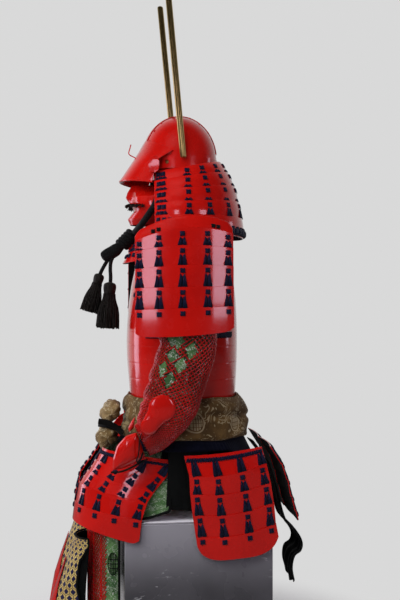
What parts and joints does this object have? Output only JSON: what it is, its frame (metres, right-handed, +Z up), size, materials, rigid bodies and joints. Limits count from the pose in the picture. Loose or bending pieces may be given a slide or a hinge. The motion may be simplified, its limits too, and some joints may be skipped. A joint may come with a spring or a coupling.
{
  "type": "samurai armour on its storage box",
  "caption": "Red-lacquered laced samurai armour with helmet, mask, sleeves, skirt panels and leg guards, seated on a plain storage box.",
  "frame": {"origin": "on the floor, at the middle of the footprint", "axes": "+Z up, the armour faces -Y and its left side is +X"},
  "size_m": [0.529, 0.7396, 1.9255],
  "materials": {
    "box": "dark grey-black satin paint, paler on top, faint scratches",
    "lacquer": "deep glossy red lacquer",
    "brass": "satin brushed brass",
    "mail": "red lacquered mail sewn over green brocade",
    "brocade": "green figured brocade with a pale sheen",
    "sash_cloth": "gold-brown figured brocade",
    "tortoise_cloth": "gold cloth quilted in hexagons with navy centres",
    "black_cloth": "matt black cotton",
    "silk_cord": "black braided silk with a soft sheen",
    "navy_lacing": "dark navy flat braid",
    "horsehair": "black-brown bristle"
  },
  "bodies": {
    "root": {"box_body": "box", "box_lid": "box", "helmet_bowl": "lacquer", "helmet_visor": "lacquer", "turnback_L": "lacquer", "turnback_R": "lacquer", "neck_guard": "lacquer", "face_mask": "lacquer", "throat_guard": "lacquer", "cuirass_front": "lacquer", "cuirass_rear": "lacquer", "shoulder_strap_L": "lacquer", "shoulder_strap_R": "lacquer", "sode_L": "lacquer", "sode_R": "lacquer", "sode_cap_L": "lacquer", "sode_cap_R": "lacquer", "elbow_plate_L": "lacquer", "elbow_plate_R": "lacquer", "hand_guard_L": "lacquer", "hand_guard_R": "lacquer", "thumb_plate_L": "lacquer", "thumb_plate_R": "lacquer", "kusazuri_centre": "lacquer", "kusazuri_front_L": "lacquer", "kusazuri_front_R": "lacquer", "kusazuri_hip_L": "lacquer", "kusazuri_hip_R": "lacquer", "kusazuri_rear_L": "lacquer", "kusazuri_rear_R": "lacquer", "shin_guard_L": "lacquer", "shin_guard_R": "lacquer", "horn_L": "brass", "horn_R": "brass", "sleeve_L": "mail", "sleeve_R": "mail", "apron_splints_L": "mail", "apron_splints_R": "mail", "thigh_apron_L": "brocade", "thigh_apron_R": "brocade", "apron_drop_L": "brocade", "apron_drop_R": "brocade", "sash": "sash_cloth", "sash_knot_upper": "sash_cloth", "sash_knot_lower": "sash_cloth", "knee_guard_L": "tortoise_cloth", "knee_guard_R": "tortoise_cloth", "waist_cloth_L": "black_cloth", "waist_cloth_R": "black_cloth", "rear_cloth": "black_cloth", "chin_cord_L": "silk_cord", "chin_cord_R": "silk_cord", "cord_knot": "silk_cord", "cord_loop": "silk_cord", "cord_end_1": "silk_cord", "cord_end_2": "silk_cord", "tassel_1": "silk_cord", "tassel_2": "silk_cord", "suspension_lacing": "navy_lacing", "moustache": "horsehair"}
  },
  "joints": []
}
